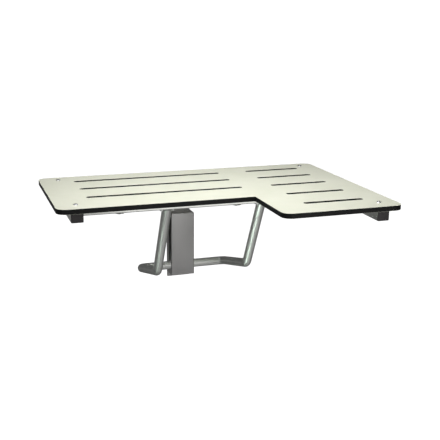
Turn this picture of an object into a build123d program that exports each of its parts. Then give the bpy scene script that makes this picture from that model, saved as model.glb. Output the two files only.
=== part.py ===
from build123d import *
import math
import os

# Wall-mounted folding shower seat: an L-shaped slotted panel on a square-tube frame, hinged to the wall,
# held up in front by a bent round-tube leg whose crossbar slides up and down in a guide bracket on the wall.
# Millimetres. Origin: on the wall, at the centre of the guide bracket's four screw holes.
# +X to the right for someone facing the wall, +Y into the wall, +Z up. The wall's surface is y = 0.

# Panel
panel_left = -419.1
panel_width = 838.2
panel_back = -24.0
panel_top = 210.0
panel_thickness = 13.0
face_thickness = 0.25
short_depth = 388.6
long_depth = 584.2
leg_part_width = 326.0
outer_corner_r = 25.0
notch_corner_r = 4.0
slot_width = 16.0
long_slot_length = 427.0
short_slot_length = 167.0
long_slot_x = -114.5
short_slot_x = 266.8
slot_ys = [-94.0, -192.0, -295.0, -406.0, -516.0]
long_slot_rows = 3

# Frame of square tube under the panel
side_tube = 31.75
cross_tube = 19.05
tube_wall = 1.65
tube_corner_r = 2.5
left_tube_x = -365.0
right_tube_x = 376.0
side_tube_back = -32.0
cap_thickness = 3.0
left_tube_front = -375.0
right_tube_front = -579.0
cross_tube_front = -361.5

# Screws
screw_r = 3.0
screw_head_r = 6.5
screw_head_height = 3.0
screw_length = 26.0
socket_r = 2.0
insert_r = 4.5
insert_bulge_r = 6.0
insert_length = 14.0
left_screws = [(-366.5, -62.0), (-366.5, -368.0)]
right_screws = [(373.5, -62.0), (371.0, -563.0)]
under_screw_xs = [-253.3, 62.8, 230.0]
under_flange_r = 12.5
under_flange_height = 1.0
under_head_r = 9.0
under_head_height = 4.0

# Wall hinges
hinge_y = -59.0
hinge_z = 181.4
shaft_r = 9.525
shaft_wall = 2.0
bushing_wall = 1.9
bushing_flange = 1.2
bushing_flange_r = 13.0
knuckle_r = 14.5
arm_thickness = 6.0
arm_half_spread = 19.0
arm_back = -45.0
arm_bottom = 112.0
arm_step = 143.0
left_bracket_x = -299.0
right_bracket_x = 296.0
wall_plate = 5.0
wall_plate_width = 90.0
wall_plate_bottom = 110.0
wall_plate_top = 204.0
wall_hole_r = 4.5
wall_hole_dx = 70.0
wall_hole_dz = 74.0
collar_r = 14.0
collar_width = 8.0
fit_gap = 0.06

# Bent round-tube leg, in two halves joined inside the guide, and its pivots under the seat
leg_r = 12.7
leg_wall = 1.65
leg_centre_x = 3.8
leg_half_span = 131.7
leg_top_y = -346.0
leg_top_z = 175.0
elbow_y = -242.0
elbow_z = -26.0
crossbar_y = -37.5
crossbar_z = -79.0
elbow_bend_r = 28.0
corner_bend_r = 20.0
leg_cut_z = 177.0
leg_cut_slope = 30.0
plug_recess = 0.8
plug_length = 24.0
pivot_y = -341.5
pivot_z = 174.0
pivot_pin_r = 3.0
pivot_pin_half = 17.0
saddle_gap = 0.3
saddle_inside = 13.3
saddle_thickness = 3.5
saddle_front = -356.0
saddle_slope = 40.0
joiner_half = 28.0

# Guide bracket on the wall
guide_width = 72.5
guide_front = -53.0
guide_top = 85.0
guide_bottom = -108.0
guide_sheet = 1.6
guide_corner_r = 3.0
slot_clearance = 1.1
slot_floor = -92.1
slot_ceiling = 83.2
guide_plate = 3.0
guide_plate_width = 72.5
guide_plate_height = 252.0
guide_hole_dx = 44.0
guide_hole_dz = 234.0
guide_hole_r = 2.75
rivet_zs = [-34.0, -14.0]
rivet_r = 2.0
spring_width = 24.0
spring_sheet = 1.0
sleeve_r = 13.4
sleeve_half = 30.0

# Worked out from the sizes above
panel_bottom = panel_top - panel_thickness
panel_right = panel_left + panel_width
notch_x = panel_right - leg_part_width
half_tube = side_tube / 2
tube_inner = side_tube - 2 * tube_wall
tube_mid_z = panel_bottom - half_tube
cross_tube_back = cross_tube_front + cross_tube
cross_tube_y = cross_tube_front + cross_tube / 2
cross_tube_bottom = panel_bottom - cross_tube
frame_left = left_tube_x + half_tube
frame_right = right_tube_x - half_tube
left_leg_x = leg_centre_x - leg_half_span
right_leg_x = leg_centre_x + leg_half_span
bushing_r = shaft_r + bushing_wall
leg_up = Vector(0, leg_top_y - elbow_y, leg_top_z - elbow_z).normalized()
screw_places = left_screws + right_screws
under_screw_places = [(x, cross_tube_y) for x in under_screw_xs]
facing_out = Plane(origin=(0, 0, 0), x_dir=(1, 0, 0), z_dir=(0, -1, 0))


def save(piece, name):
    """Labels one finished piece and writes it as its own STEP file."""
    piece.part.label = name
    export_step(piece.part, f"parts/{name}.step")


def panel_layer(bottom, thickness):
    """One layer of the L-shaped panel with its drain slots and screw holes."""
    front = panel_back - long_depth
    step = panel_back - short_depth
    with BuildPart() as layer:
        with BuildSketch(Plane.XY.offset(bottom)) as outline:
            with BuildLine():
                Polyline(
                    (panel_left, panel_back),
                    (panel_right, panel_back),
                    (panel_right, front),
                    (notch_x, front),
                    (notch_x, step),
                    (panel_left, step),
                    close=True,
                )
            make_face()
            by_distance = outline.vertices().sort_by_distance((notch_x, step, 0))
            fillet(by_distance[1:], outer_corner_r)
            fillet(outline.vertices().sort_by_distance((notch_x, step, 0))[0], notch_corner_r)
            with Locations([(long_slot_x, y) for y in slot_ys[:long_slot_rows]]):
                SlotOverall(long_slot_length, slot_width, mode=Mode.SUBTRACT)
            with Locations([(short_slot_x, y) for y in slot_ys]):
                SlotOverall(short_slot_length, slot_width, mode=Mode.SUBTRACT)
            with Locations(screw_places):
                Circle(screw_r + 0.3, mode=Mode.SUBTRACT)
        extrude(amount=thickness)
    return layer


def drilled_layer(bottom, thickness, hole_depth):
    """A layer of the panel with holes from below for the screws in the cross tube."""
    layer = panel_layer(bottom, thickness)
    with BuildPart() as drilled:
        add(layer.part)
        with BuildSketch(Plane.XY.offset(panel_bottom)):
            with Locations(under_screw_places):
                Circle(screw_r)
        extrude(amount=hole_depth, mode=Mode.SUBTRACT)
    return drilled


def side_frame_tube(x, front, screws):
    """A front-to-back square tube, with holes in its top wall for the threaded inserts."""
    start = Plane(origin=(x, side_tube_back, tube_mid_z), x_dir=(1, 0, 0), z_dir=(0, -1, 0))
    with BuildPart() as tube:
        with BuildSketch(start):
            RectangleRounded(side_tube, side_tube, tube_corner_r)
            RectangleRounded(tube_inner, tube_inner, tube_corner_r - tube_wall, mode=Mode.SUBTRACT)
        extrude(amount=side_tube_back - front)
        with BuildSketch(Plane.XY.offset(panel_bottom)):
            with Locations(screws):
                Circle(insert_r)
        extrude(amount=-2 * tube_wall, mode=Mode.SUBTRACT)
    return tube


def front_frame_tube():
    """The square tube between the side tubes, drilled through for its screws."""
    middle = (frame_left, cross_tube_y, panel_bottom - cross_tube / 2)
    with BuildPart() as tube:
        with BuildSketch(Plane(origin=middle, x_dir=(0, 1, 0), z_dir=(1, 0, 0))):
            RectangleRounded(cross_tube, cross_tube, tube_corner_r)
            inner = cross_tube - 2 * tube_wall
            RectangleRounded(inner, inner, tube_corner_r - tube_wall, mode=Mode.SUBTRACT)
        extrude(amount=frame_right - frame_left)
        with BuildSketch(Plane.XY.offset(panel_bottom)):
            with Locations(under_screw_places):
                Circle(screw_r + 0.2)
        extrude(amount=-cross_tube, mode=Mode.SUBTRACT)
    return tube


def end_cap(x, y, outward):
    """A moulded cap on a tube's end: a face plate and two ribs that grip the tube's side walls."""
    rib = 2.2
    with BuildPart() as cap:
        with BuildSketch(Plane(origin=(x, y, tube_mid_z), x_dir=(1, 0, 0), z_dir=(0, outward, 0))):
            RectangleRounded(side_tube - 0.3, side_tube - 0.3, tube_corner_r)
        extrude(amount=cap_thickness)
        fillet(cap.faces().sort_by(Axis.Y)[-1 if outward > 0 else 0].edges(), 0.8)
        with BuildSketch(Plane(origin=(x, y, tube_mid_z), x_dir=(1, 0, 0), z_dir=(0, -outward, 0))):
            with Locations(((tube_inner - rib) / 2 - 0.1, 0), (-(tube_inner - rib) / 2 + 0.1, 0)):
                Rectangle(rib, tube_inner - 8.0)
        extrude(amount=9.0)
    return cap


def domed_section(x, y, z, radius, height, up):
    """Half of a dome's section, for revolving about the screw's own axis."""
    with BuildSketch(Plane(origin=(x, y, z), x_dir=(1, 0, 0), z_dir=(0, -1, 0))) as section:
        with BuildLine():
            Line((0, 0), (radius, 0))
            Spline(
                (radius, 0),
                (radius * 0.74, up * height * 0.72),
                (0, up * height),
                tangents=[(0, up), (-1, 0)],
            )
            Line((0, up * height), (0, 0))
        make_face()
    return section


def panel_screws():
    """Dome-headed socket screws through the panel, one at each corner of the frame."""
    with BuildPart() as screws:
        for x, y in screw_places:
            section = domed_section(x, y, panel_top, screw_head_r, screw_head_height, 1)
            revolve(section.sketch, axis=Axis((x, y, 0), (0, 0, 1)))
        with BuildSketch(Plane.XY.offset(panel_top)):
            with Locations(screw_places):
                Circle(screw_r)
        extrude(amount=-(screw_length - screw_head_height))
        with BuildSketch(Plane.XY.offset(panel_top + 1.2)):
            with Locations(screw_places):
                RegularPolygon(socket_r, 6)
        extrude(amount=screw_head_height, mode=Mode.SUBTRACT)
    return screws


def tube_inserts():
    """Threaded inserts crimped in the side tubes' top walls, where the panel screws end."""
    with BuildPart() as inserts:
        with BuildSketch(Plane.XY.offset(panel_bottom)):
            with Locations(screw_places):
                Circle(insert_r - 0.05)
        extrude(amount=-insert_length)
        with BuildSketch(Plane.XY.offset(panel_bottom - tube_wall)):
            with Locations(screw_places):
                Circle(insert_bulge_r)
        extrude(amount=-3.0)
        with BuildSketch(Plane.XY.offset(panel_bottom)):
            with Locations(screw_places):
                Circle(screw_r)
        extrude(amount=-insert_length, mode=Mode.SUBTRACT)
    return inserts


def under_screws():
    """Flanged dome-headed screws up through the cross tube into the panel."""
    with BuildPart() as screws:
        for x, y in under_screw_places:
            section = domed_section(x, y, cross_tube_bottom, under_head_r, under_head_height, -1)
            revolve(section.sketch, axis=Axis((x, y, 0), (0, 0, 1)))
        with BuildSketch(Plane.XY.offset(cross_tube_bottom)):
            with Locations(under_screw_places):
                Circle(under_flange_r)
        extrude(amount=-under_flange_height)
        with BuildSketch(Plane.XY.offset(cross_tube_bottom)):
            with Locations(under_screw_places):
                Circle(screw_r - 0.05)
        extrude(amount=cross_tube + 8.0)
        with BuildSketch(Plane.XY.offset(cross_tube_bottom - under_head_height + 1.8)):
            with Locations(under_screw_places):
                RegularPolygon(socket_r + 0.4, 6)
        extrude(amount=-under_head_height, mode=Mode.SUBTRACT)
    return screws


def hinge_bracket(x):
    """A wall plate with two J-shaped arms that pass under the panel's back edge up to the hinge shaft."""
    middle_z = (wall_plate_top + wall_plate_bottom) / 2
    with BuildPart() as bracket:
        with BuildSketch(Plane(origin=(x, 0, middle_z), x_dir=(1, 0, 0), z_dir=(0, -1, 0))):
            RectangleRounded(wall_plate_width, wall_plate_top - wall_plate_bottom, 6.0)
            with GridLocations(wall_hole_dx, wall_hole_dz, 2, 2):
                Circle(wall_hole_r, mode=Mode.SUBTRACT)
        extrude(amount=wall_plate)
        for side in (-1, 1):
            with BuildSketch(Plane.YZ.offset(x + side * arm_half_spread)) as profile:
                with BuildLine():
                    Polyline(
                        (-wall_plate, arm_bottom),
                        (-wall_plate, arm_step),
                        (arm_back, arm_step),
                        (arm_back, hinge_z),
                        (hinge_y - knuckle_r, hinge_z),
                        (hinge_y - knuckle_r, arm_step),
                        (hinge_y + 4.0, arm_bottom),
                        close=True,
                    )
                make_face()
                with Locations((hinge_y, hinge_z)):
                    Circle(knuckle_r)
                corner = profile.vertices().sort_by_distance((x + side * arm_half_spread, arm_back, arm_step))
                fillet(corner[0], 5.0)
                with Locations((hinge_y, hinge_z)):
                    Circle(bushing_r, mode=Mode.SUBTRACT)
            extrude(amount=arm_thickness / 2, both=True)
    return bracket


def hinge_bushings(x):
    """A flanged nylon bushing in each arm, running on the hinge shaft."""
    with BuildPart() as bushings:
        for side in (-1, 1):
            inside = x + side * (arm_half_spread - arm_thickness / 2)
            outside = x + side * (arm_half_spread + arm_thickness / 2)
            with BuildSketch(Plane.YZ.offset(inside)):
                with Locations((hinge_y, hinge_z)):
                    Circle(bushing_r)
            extrude(amount=side * arm_thickness)
            with BuildSketch(Plane.YZ.offset(outside)):
                with Locations((hinge_y, hinge_z)):
                    Circle(bushing_flange_r)
            extrude(amount=side * bushing_flange)
            with BuildSketch(Plane.YZ.offset(inside)):
                with Locations((hinge_y, hinge_z)):
                    Circle(shaft_r + fit_gap)
            extrude(amount=side * (arm_thickness + bushing_flange), mode=Mode.SUBTRACT)
    return bushings


def hinge_shaft():
    """The round tube between the side tubes that the seat turns on."""
    with BuildPart() as shaft:
        with BuildSketch(Plane.YZ.offset(frame_left)):
            with Locations((hinge_y, hinge_z)):
                Circle(shaft_r)
                Circle(shaft_r - shaft_wall, mode=Mode.SUBTRACT)
        extrude(amount=frame_right - frame_left)
    return shaft


def shaft_collars():
    """Two collars outside the brackets that keep the shaft from shifting along the wall."""
    reach = arm_half_spread + arm_thickness / 2 + bushing_flange + 0.4
    with BuildPart() as collars:
        for x, side in ((left_bracket_x, -1), (right_bracket_x, 1)):
            with BuildSketch(Plane.YZ.offset(x + side * reach)):
                with Locations((hinge_y, hinge_z)):
                    Circle(collar_r)
                    Circle(shaft_r, mode=Mode.SUBTRACT)
            extrude(amount=side * collar_width)
            with BuildSketch(Plane.XY.offset(hinge_z - collar_r - 1)):
                with Locations((x + side * (reach + collar_width / 2), hinge_y)):
                    Circle(2.0)
            extrude(amount=3.0, mode=Mode.SUBTRACT)
    return collars


def leg_saddle(x):
    """Two notched plates under the cross tube, either side of a leg, that rest on its pivot pin's ends."""
    notch_r = pivot_pin_r + saddle_gap
    rise = math.radians(saddle_slope)
    arc_start = (pivot_y - notch_r * math.sin(rise), pivot_z + notch_r * math.cos(rise))
    run = (panel_bottom - arc_start[1]) / math.tan(rise)
    with BuildPart() as saddle:
        for side in (-1, 1):
            middle = x + side * (saddle_inside + saddle_thickness / 2)
            with BuildSketch(Plane.YZ.offset(middle)):
                with BuildLine():
                    Polyline(
                        (pivot_y - notch_r, pivot_z),
                        (saddle_front, pivot_z),
                        (saddle_front, cross_tube_bottom),
                        (cross_tube_back, cross_tube_bottom),
                        (cross_tube_back, panel_bottom),
                        (arc_start[0] + run, panel_bottom),
                        arc_start,
                    )
                    CenterArc((pivot_y, pivot_z), notch_r, 90 + saddle_slope, 90 - saddle_slope)
                make_face()
            extrude(amount=saddle_thickness / 2, both=True)
    return saddle


def above_the_leg(x, top):
    """The space above a leg's end: level in front of the pivot, falling away behind it."""
    reach = 3 * leg_r
    with BuildPart() as space:
        with BuildSketch(Plane.YZ.offset(x)):
            with BuildLine():
                Polyline(
                    (pivot_y - reach, top),
                    (pivot_y, top),
                    (pivot_y + reach, top - reach * math.tan(math.radians(leg_cut_slope))),
                    (pivot_y + reach, top + reach),
                    (pivot_y - reach, top + reach),
                    close=True,
                )
            make_face()
        extrude(amount=leg_r + 2, both=True)
    return space.part


def pivot_hole(x):
    """A cylinder the size of the pivot pin, for drilling what the pin goes through."""
    with BuildPart() as hole:
        with BuildSketch(Plane.YZ.offset(x)):
            with Locations((pivot_y, pivot_z)):
                Circle(pivot_pin_r)
        extrude(amount=leg_r + 2, both=True)
    return hole.part


def leg_plug(x):
    """A plug that closes a leg's top end and backs up the pivot pin."""
    low = Vector(x, elbow_y, elbow_z) + leg_up * ((leg_cut_z - plug_length - elbow_z) / leg_up.Z)
    cut = above_the_leg(x, leg_cut_z - plug_recess)
    hole = pivot_hole(x)
    with BuildPart() as plug:
        with BuildSketch(Plane(origin=low, x_dir=(1, 0, 0), z_dir=leg_up)):
            Circle(leg_r - leg_wall - 0.02)
        extrude(amount=2 * plug_length)
        add(cut, mode=Mode.SUBTRACT)
        add(hole, mode=Mode.SUBTRACT)
    return plug


def pivot_pin(x):
    """The steel pin pressed through a leg's top end, with both ends left standing out."""
    with BuildPart() as pin:
        with BuildSketch(Plane.YZ.offset(x)):
            with Locations((pivot_y, pivot_z)):
                Circle(pivot_pin_r)
        extrude(amount=pivot_pin_half, both=True)
        chamfer(pin.faces().filter_by(Axis.X).edges(), 0.5)
    return pin


def leg_half(x):
    """One bent half of the leg: upright, foot that runs back to the wall, and half of the crossbar."""
    beyond = Vector(x, elbow_y, elbow_z) + leg_up * ((leg_top_z + 20.0 - elbow_z) / leg_up.Z)
    cut = above_the_leg(x, leg_cut_z)
    hole = pivot_hole(x)
    with BuildPart() as leg:
        with BuildLine() as route:
            FilletPolyline(
                (x, beyond.Y, beyond.Z),
                (x, elbow_y, elbow_z),
                (x, crossbar_y, crossbar_z),
                (leg_centre_x, crossbar_y, crossbar_z),
                radius=[elbow_bend_r, corner_bend_r],
            )
        with BuildSketch(Plane(origin=route.line @ 0, z_dir=route.line % 0)):
            Circle(leg_r)
            Circle(leg_r - leg_wall, mode=Mode.SUBTRACT)
        sweep()
        add(cut, mode=Mode.SUBTRACT)
        add(hole, mode=Mode.SUBTRACT)
    return leg


def leg_joiner():
    """The spigot inside the crossbar that joins the leg's two halves."""
    with BuildPart() as joiner:
        with BuildSketch(Plane.YZ.offset(leg_centre_x)):
            with Locations((crossbar_y, crossbar_z)):
                Circle(leg_r - leg_wall - 0.02)
        extrude(amount=joiner_half, both=True)
        chamfer(joiner.faces().filter_by(Axis.X).edges(), 1.0)
    return joiner


def guide_back_plate():
    """The guide's wall plate with its four screw holes and the spring's rivet holes."""
    with BuildPart() as plate:
        with BuildSketch(facing_out):
            RectangleRounded(guide_plate_width, guide_plate_height, 3.0)
            with GridLocations(guide_hole_dx, guide_hole_dz, 2, 2):
                Circle(guide_hole_r, mode=Mode.SUBTRACT)
            with Locations([(0, z) for z in rivet_zs]):
                Circle(rivet_r, mode=Mode.SUBTRACT)
        extrude(amount=guide_plate)
    return plate


def guide_channel():
    """The folded channel on the wall plate: front, closed top, and two flanges slotted for the crossbar."""
    half = guide_width / 2
    inner = half - guide_sheet
    inner_front = guide_front + guide_sheet
    slot_r = leg_r + slot_clearance
    with BuildPart() as channel:
        with BuildSketch(Plane.XY.offset(guide_bottom)) as outline:
            with BuildLine():
                Polyline(
                    (-half, -guide_plate),
                    (-half, guide_front),
                    (half, guide_front),
                    (half, -guide_plate),
                    close=True,
                )
            make_face()
            fillet(outline.vertices().group_by(Axis.Y)[0], guide_corner_r)
        extrude(amount=guide_top - guide_bottom)
        fillet(channel.faces().sort_by(Axis.Z)[-1].edges().sort_by(Axis.Y)[0], guide_corner_r * 0.8)
        with BuildSketch(Plane.XY.offset(guide_bottom)) as hollow:
            with BuildLine():
                Polyline(
                    (-inner, -guide_plate),
                    (-inner, inner_front),
                    (inner, inner_front),
                    (inner, -guide_plate),
                    close=True,
                )
            make_face()
            fillet(hollow.vertices().group_by(Axis.Y)[0], guide_corner_r - guide_sheet)
        extrude(amount=guide_top - guide_sheet - guide_bottom, mode=Mode.SUBTRACT)
        with BuildSketch(Plane.YZ):
            with Locations((crossbar_y, (slot_floor + slot_ceiling) / 2)):
                SlotOverall(slot_ceiling - slot_floor, 2 * slot_r, rotation=90)
        extrude(amount=half, both=True, mode=Mode.SUBTRACT)
    return channel


def guide_spring():
    """A leaf spring on the wall plate, bowed towards the crossbar to steady it when it is parked up."""
    foot = -guide_plate - spring_sheet / 2
    with BuildPart() as spring:
        with BuildSketch(Plane.YZ):
            with BuildLine():
                FilletPolyline(
                    (foot, rivet_zs[0] - 7.0),
                    (foot, rivet_zs[1] + 9.0),
                    (-23.2, 43.0),
                    (-9.0, 70.0),
                    radius=8.0,
                )
            trace(line_width=spring_sheet)
        extrude(amount=spring_width / 2, both=True)
        with BuildSketch(facing_out):
            with Locations([(0, z) for z in rivet_zs]):
                Circle(rivet_r)
        extrude(amount=10.0, mode=Mode.SUBTRACT)
    return spring


def spring_rivets():
    """Two rivets through the leaf spring and the wall plate."""
    front = guide_plate + spring_sheet
    with BuildPart() as rivets:
        with BuildSketch(facing_out):
            with Locations([(0, z) for z in rivet_zs]):
                Circle(rivet_r)
        extrude(amount=front)
        with BuildSketch(facing_out.offset(front)):
            with Locations([(0, z) for z in rivet_zs]):
                Circle(3.8)
        extrude(amount=1.6)
        fillet(rivets.faces().group_by(Axis.Y)[0].edges(), 1.2)
    return rivets


def guide_sleeve():
    """The nylon wear sleeve on the crossbar, sliding up and down inside the guide."""
    with BuildPart() as sleeve:
        with BuildSketch(Plane.YZ):
            with Locations((crossbar_y, crossbar_z)):
                Circle(sleeve_r)
                Circle(leg_r + fit_gap, mode=Mode.SUBTRACT)
        extrude(amount=sleeve_half, both=True)
    return sleeve


os.makedirs("parts", exist_ok=True)

core_thickness = panel_thickness - 2 * face_thickness
save(drilled_layer(panel_bottom + face_thickness, core_thickness, 8.0), "seat_core")
save(panel_layer(panel_top - face_thickness, face_thickness), "seat_top_face")
save(drilled_layer(panel_bottom, face_thickness, face_thickness), "seat_bottom_face")
save(side_frame_tube(left_tube_x, left_tube_front, left_screws), "left_side_tube")
save(side_frame_tube(right_tube_x, right_tube_front, right_screws), "right_side_tube")
save(front_frame_tube(), "front_cross_tube")
for side_name, tube_x, tube_front in (
    ("left", left_tube_x, left_tube_front),
    ("right", right_tube_x, right_tube_front),
):
    save(end_cap(tube_x, tube_front, -1), f"{side_name}_front_cap")
    save(end_cap(tube_x, side_tube_back, 1), f"{side_name}_rear_cap")
save(panel_screws(), "panel_screws")
save(tube_inserts(), "tube_inserts")
save(under_screws(), "cross_tube_screws")

save(hinge_shaft(), "hinge_shaft")
save(shaft_collars(), "shaft_collars")
for side_name, bracket_x in (("left", left_bracket_x), ("right", right_bracket_x)):
    save(hinge_bracket(bracket_x), f"{side_name}_hinge_bracket")
    save(hinge_bushings(bracket_x), f"{side_name}_hinge_bushings")

for side_name, leg_x in (("left", left_leg_x), ("right", right_leg_x)):
    save(leg_saddle(leg_x), f"{side_name}_leg_saddle")
    save(leg_plug(leg_x), f"{side_name}_leg_plug")
    save(pivot_pin(leg_x), f"{side_name}_pivot_pin")
    save(leg_half(leg_x), f"{side_name}_leg_tube")
save(leg_joiner(), "leg_joiner")

save(guide_back_plate(), "guide_back_plate")
save(guide_channel(), "guide_channel")
save(guide_spring(), "holding_spring")
save(spring_rivets(), "spring_rivets")
save(guide_sleeve(), "guide_sleeve")
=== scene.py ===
import math

import bpy
from mathutils import Euler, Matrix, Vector

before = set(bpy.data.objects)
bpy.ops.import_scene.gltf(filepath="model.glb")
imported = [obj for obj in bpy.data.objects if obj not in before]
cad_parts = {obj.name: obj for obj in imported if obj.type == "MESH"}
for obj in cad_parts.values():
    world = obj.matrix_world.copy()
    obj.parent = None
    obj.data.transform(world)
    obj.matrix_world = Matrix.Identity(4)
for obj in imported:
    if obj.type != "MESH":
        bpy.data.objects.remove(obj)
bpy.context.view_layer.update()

# The colour sockets of a Mix node set to RGBA, which share their names with others.
MIX_FIRST, MIX_SECOND, MIX_RESULT = 6, 7, 2


# ---------------------------------------------------------------- materials
class Look:
    """A small helper for building one node material."""

    def __init__(self, name):
        self.mat = bpy.data.materials.new(name)
        self.mat.use_nodes = True
        self.nodes = self.mat.node_tree.nodes
        self.links = self.mat.node_tree.links
        self.shader = self.nodes["Principled BSDF"]
        self.coords = self.nodes.new("ShaderNodeTexCoord").outputs["Object"]

    def link(self, source, target):
        self.links.new(source, target)

    def stretched(self, scale):
        mapping = self.nodes.new("ShaderNodeMapping")
        mapping.inputs["Scale"].default_value = scale
        self.link(self.coords, mapping.inputs["Vector"])
        return mapping.outputs["Vector"]

    def noise(self, scale, detail=4.0, rough=0.55, vector=None):
        node = self.nodes.new("ShaderNodeTexNoise")
        node.inputs["Scale"].default_value = scale
        node.inputs["Detail"].default_value = detail
        node.inputs["Roughness"].default_value = rough
        self.link(vector or self.coords, node.inputs["Vector"])
        return node.outputs["Fac"]

    def remap(self, value, low, high, out_low, out_high):
        node = self.nodes.new("ShaderNodeMapRange")
        for index, number in enumerate((low, high, out_low, out_high)):
            node.inputs[index + 1].default_value = number
        self.link(value, node.inputs["Value"])
        return node.outputs["Result"]

    def ramp(self, value, stops):
        node = self.nodes.new("ShaderNodeValToRGB")
        node.color_ramp.elements[0].position = stops[0][0]
        node.color_ramp.elements[0].color = (*stops[0][1], 1)
        node.color_ramp.elements[1].position = stops[-1][0]
        node.color_ramp.elements[1].color = (*stops[-1][1], 1)
        for position, color in stops[1:-1]:
            node.color_ramp.elements.new(position).color = (*color, 1)
        self.link(value, node.inputs["Fac"])
        return node.outputs["Color"]

    def mix(self, factor, a, b):
        node = self.nodes.new("ShaderNodeMix")
        node.data_type = "RGBA"
        self.link(factor, node.inputs["Factor"])
        for socket, value in ((node.inputs[MIX_FIRST], a), (node.inputs[MIX_SECOND], b)):
            if isinstance(value, tuple):
                socket.default_value = (*value, 1)
            else:
                self.link(value, socket)
        return node.outputs[MIX_RESULT]

    def add(self, a, b):
        node = self.nodes.new("ShaderNodeMath")
        node.operation = "ADD"
        self.link(a, node.inputs[0])
        self.link(b, node.inputs[1])
        return node.outputs[0]

    def bump(self, heights):
        normal = None
        for height, strength, distance in heights:
            node = self.nodes.new("ShaderNodeBump")
            node.inputs["Strength"].default_value = strength
            node.inputs["Distance"].default_value = distance
            self.link(height, node.inputs["Height"])
            if normal:
                self.link(normal, node.inputs["Normal"])
            normal = node.outputs["Normal"]
        self.link(normal, self.shader.inputs["Normal"])

    def set(self, **values):
        for name, value in values.items():
            self.shader.inputs[name.replace("_", " ")].default_value = value

    def edge_wear(self, low=0.52, high=0.58):
        """Bright where an edge is worn, from the surface's own pointiness."""
        geometry = self.nodes.new("ShaderNodeNewGeometry")
        return self.remap(geometry.outputs["Pointiness"], low, high, 0.0, 1.0)


def laminate(name, light, dark):
    """Cream phenolic face: a fine pebbled texture, faint mottling and a satin gloss."""
    look = Look(name)
    mottle = look.noise(9.0, 5.0, 0.6)
    fleck = look.noise(900.0, 2.0, 0.5)
    base = look.ramp(mottle, [(0.3, dark), (0.7, light)])
    specks = look.remap(fleck, 0.66, 0.72, 0.0, 0.18)
    speck_color = tuple(c * 0.72 for c in dark)
    look.link(look.mix(specks, base, speck_color), look.shader.inputs["Base Color"])
    rough = look.noise(60.0, 3.0)
    look.link(look.remap(rough, 0.3, 0.7, 0.36, 0.46), look.shader.inputs["Roughness"])
    look.bump([(look.noise(700.0, 2.0), 0.14, 0.0002), (look.noise(35.0, 2.0), 0.05, 0.0004)])
    look.set(IOR=1.5, Coat_Weight=0.12, Coat_Roughness=0.28)
    return look.mat


def phenolic_core():
    """Black machined core: fine layers along the edge and faint router marks."""
    look = Look("phenolic_core")
    layers = look.noise(60.0, 3.0, 0.5, look.stretched((2.0, 2.0, 60.0)))
    black = look.ramp(layers, [(0.3, (0.002, 0.0025, 0.0025)), (0.8, (0.008, 0.009, 0.009))])
    look.link(black, look.shader.inputs["Base Color"])
    marks = look.noise(500.0, 2.0, 0.5, look.stretched((1.0, 1.0, 0.15)))
    look.link(look.remap(marks, 0.3, 0.7, 0.38, 0.6), look.shader.inputs["Roughness"])
    look.bump([(layers, 0.12, 0.00004), (marks, 0.08, 0.00002)])
    look.set(IOR=1.5, Specular_IOR_Level=0.25)
    return look.mat


def steel(name, grain, tint=(0.60, 0.61, 0.585), rough=(0.24, 0.34), dark=0.86):
    """Satin stainless steel: directional grain, cloudy patches, streaks and worn edges."""
    look = Look(name)
    vector = look.stretched(grain)
    lines = look.noise(1500.0, 3.0, 0.6, vector)
    bands = look.noise(160.0, 4.0, 0.55, vector)
    cloud = look.noise(8.0, 3.0, 0.5)
    low = tuple(c * dark for c in tint)
    base = look.ramp(bands, [(0.3, low), (0.7, tint)])
    worn = look.mix(look.edge_wear(), base, tuple(min(1.0, c * 1.25) for c in tint))
    look.link(worn, look.shader.inputs["Base Color"])
    smudge = look.remap(cloud, 0.3, 0.7, rough[0], rough[1])
    streak = look.remap(bands, 0.3, 0.7, -0.04, 0.04)
    look.link(look.add(smudge, streak), look.shader.inputs["Roughness"])
    look.bump([(lines, 0.25, 0.00001)])
    look.set(Metallic=1.0)
    return look.mat


def bright_metal(name):
    """Polished screw heads and pins, with fine turning marks and small scuffs."""
    look = Look(name)
    scuff = look.noise(400.0, 4.0, 0.6)
    bright = look.ramp(scuff, [(0.3, (0.74, 0.74, 0.75)), (0.75, (0.90, 0.90, 0.92))])
    look.link(bright, look.shader.inputs["Base Color"])
    turning = look.noise(150.0, 3.0)
    look.link(look.remap(turning, 0.3, 0.7, 0.26, 0.38), look.shader.inputs["Roughness"])
    look.bump([(scuff, 0.06, 0.000005)])
    look.set(Metallic=1.0)
    return look.mat


def moulded(name, light, dark, rough, grain=650.0, translucent=0.0):
    """Moulded plastic with a spark-eroded grain and paler rubbed edges."""
    look = Look(name)
    base = look.ramp(look.noise(24.0, 4.0), [(0.3, dark), (0.7, light)])
    rubbed_color = tuple(min(1.0, c * 1.5 + 0.02) for c in light)
    rub = look.mix(look.edge_wear(0.53, 0.62), base, rubbed_color)
    look.link(rub, look.shader.inputs["Base Color"])
    look.link(look.remap(look.noise(80.0, 3.0), 0.3, 0.7, rough - 0.06, rough + 0.06),
              look.shader.inputs["Roughness"])
    look.bump([(look.noise(grain, 2.0), 0.22, 0.00012)])
    look.set(IOR=1.5, Subsurface_Weight=translucent, Subsurface_Scale=0.002)
    return look.mat


# The noise is squeezed along the grain, so that it runs in long lines that way.
along_x = (0.04, 1.0, 1.0)
along_y = (1.0, 0.04, 1.0)
along_z = (1.0, 1.0, 0.04)

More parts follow.
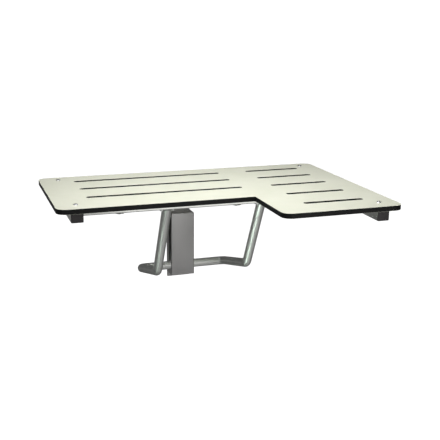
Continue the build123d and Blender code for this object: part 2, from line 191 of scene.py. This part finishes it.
face_look = laminate("phenolic_face", (0.86, 0.87, 0.735), (0.80, 0.815, 0.67))
core_look = phenolic_core()
tube_x_look = steel("satin_steel_x", along_x)
tube_y_look = steel("satin_steel_y", along_y)
leg_grain = (1.0, 0.25, 0.12)
leg_look = steel("satin_steel_leg", leg_grain, tint=(0.66, 0.67, 0.65), rough=(0.45, 0.52))
sheet_look = steel("brushed_sheet", along_z, tint=(0.40, 0.398, 0.394), rough=(0.34, 0.44))
bracket_look = steel("bracket_plate", along_z, tint=(0.52, 0.53, 0.52), rough=(0.3, 0.42))
spring_look = steel("spring_steel", along_z, tint=(0.30, 0.31, 0.33), rough=(0.25, 0.36))
screw_look = bright_metal("polished_steel")
cap_look = moulded("dark_cap", (0.045, 0.040, 0.043), (0.028, 0.025, 0.027), 0.46)
nylon_look = moulded("natural_nylon", (0.74, 0.73, 0.66), (0.66, 0.65, 0.58), 0.4,
                     grain=500.0, translucent=0.15)

looks = {
    "seat_top_face": face_look,
    "seat_bottom_face": face_look,
    "seat_core": core_look,
    "left_side_tube": tube_y_look,
    "right_side_tube": tube_y_look,
    "front_cross_tube": tube_x_look,
    "hinge_shaft": tube_x_look,
    "shaft_collars": screw_look,
    "panel_screws": screw_look,
    "tube_inserts": screw_look,
    "cross_tube_screws": screw_look,
    "left_front_cap": cap_look,
    "right_front_cap": cap_look,
    "left_rear_cap": cap_look,
    "right_rear_cap": cap_look,
    "left_leg_saddle": bracket_look,
    "right_leg_saddle": bracket_look,
    "left_hinge_bracket": bracket_look,
    "right_hinge_bracket": bracket_look,
    "left_hinge_bushings": nylon_look,
    "right_hinge_bushings": nylon_look,
    "guide_back_plate": sheet_look,
    "guide_channel": sheet_look,
    "holding_spring": spring_look,
    "spring_rivets": screw_look,
    "guide_sleeve": nylon_look,
    "left_leg_tube": leg_look,
    "right_leg_tube": leg_look,
    "leg_joiner": bracket_look,
    "left_leg_plug": bracket_look,
    "right_leg_plug": bracket_look,
    "left_pivot_pin": screw_look,
    "right_pivot_pin": screw_look,
}
for node, material in looks.items():
    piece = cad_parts[node]
    piece.data.materials.clear()
    piece.data.materials.append(material)


# ---------------------------------------------------------------- floor, light and camera
def white_look(name):
    """A pale studio surface, evenly lit."""
    mat = bpy.data.materials.new(name)
    mat.use_nodes = True
    shader = mat.node_tree.nodes["Principled BSDF"]
    shader.inputs["Base Color"].default_value = (0.9, 0.9, 0.9, 1)
    shader.inputs["Roughness"].default_value = 0.9
    shader.inputs["Emission Color"].default_value = (1.0, 1.0, 1.0, 1)
    shader.inputs["Emission Strength"].default_value = 1.0
    return mat


floor_z = -0.6
studio_half = 20.0
studio_height = 20.0
ambient_light = 0.12
camera_lens = 68.4


def studio(floor_z, half, height):
    """A pale floor with plain walls far away, which the metal doesn't mirror."""
    corners = [(-half, -half), (half, -half), (half, half), (-half, half)]
    verts = [(x, y, z) for z in (floor_z, height) for x, y in corners]
    faces = [(0, 1, 2, 3), (4, 7, 6, 5), (0, 4, 5, 1), (1, 5, 6, 2), (2, 6, 7, 3), (3, 7, 4, 0)]
    mesh = bpy.data.meshes.new("studio")
    mesh.from_pydata(verts, [], faces)
    mesh.materials.append(white_look("pale_floor"))
    piece = bpy.data.objects.new("studio", mesh)
    piece.visible_glossy = False
    piece.visible_diffuse = False
    piece.visible_shadow = False
    bpy.context.scene.collection.objects.link(piece)


def area_light(name, place, target, size, power, color=(1.0, 1.0, 1.0), spread=180):
    """A rectangular lamp in metres and watts, unseen by the camera, with its spread in degrees."""
    light = bpy.data.lights.new(name, "AREA")
    light.shape = "RECTANGLE"
    light.size, light.size_y = size
    light.energy = power
    light.color = color
    light.spread = math.radians(spread)
    lamp = bpy.data.objects.new(name, light)
    lamp.location = place
    lamp.visible_camera = False
    lamp.rotation_euler = (Vector(target) - Vector(place)).to_track_quat("-Z", "Y").to_euler()
    bpy.context.scene.collection.objects.link(lamp)


def camera(place, yaw, pitch, roll, lens):
    """Yaw is to the right of +Y and pitch is downwards, both in degrees."""
    data = bpy.data.cameras.new("camera")
    data.lens = lens
    data.sensor_width = 36.0
    data.clip_end = 200.0
    view = bpy.data.objects.new("camera", data)
    view.location = place
    turn = Euler((math.radians(90 - pitch), 0, math.radians(-yaw)), "XYZ").to_quaternion()
    view.rotation_euler = (turn @ Euler((0, 0, math.radians(roll)), "XYZ").to_quaternion()).to_euler()
    bpy.context.scene.collection.objects.link(view)
    bpy.context.scene.camera = view


studio(floor_z, studio_half, studio_height)

notch = (-0.03, -0.42, 0.2)
seat_middle = (-0.1, -0.2, 0.0)
guide_front = (0.05, -0.2, 0.0)
guide_side = (-0.05, -0.03, 0.0)
left_leg = (-0.13, -0.3, 0.07)
right_leg = (0.15, -0.3, 0.07)
warm_white = (1.0, 0.99, 0.98)
rosy_white = (1.0, 0.98, 0.98)
green_white = (0.84, 1.0, 0.88)

# The first lamp makes the panel brightest at its notch, and the next two light the fronts.
area_light("over_notch", (-0.04, -0.44, 1.05), notch, (0.5, 0.4), 9.2)
area_light("left_fill", (-1.6, -2.1, 0.9), seat_middle, (1.0, 1.0), 13)
area_light("right_strip", (0.55, -2.0, 0.1), guide_front, (1.1, 1.1), 5.4, warm_white)
# A small lamp behind the wall plane lights the faces that look left.
area_light("back_left", (-0.9, 1.2, -0.3), guide_side, (0.6, 0.6), 0.16)
# The legs mirror steeply downwards, so their lamps stand below the floor.
area_light("bounce_left", (0.15, -0.85, -1.3), left_leg, (2.0, 0.6), 1.7, rosy_white)
area_light("bounce_right", (-0.45, -0.66, -0.8), right_leg, (0.3, 0.4), 0.105, green_white, 25)

world = bpy.data.worlds.new("studio")
world.use_nodes = True
background = world.node_tree.nodes["Background"]
background.inputs["Color"].default_value = (1.0, 1.0, 1.0, 1)
background.inputs["Strength"].default_value = ambient_light
bpy.context.scene.world = world
bpy.context.scene.view_settings.view_transform = "Standard"

camera((-0.6741, -2.389, 0.702), yaw=18.74, pitch=14.70, roll=0.44, lens=camera_lens)
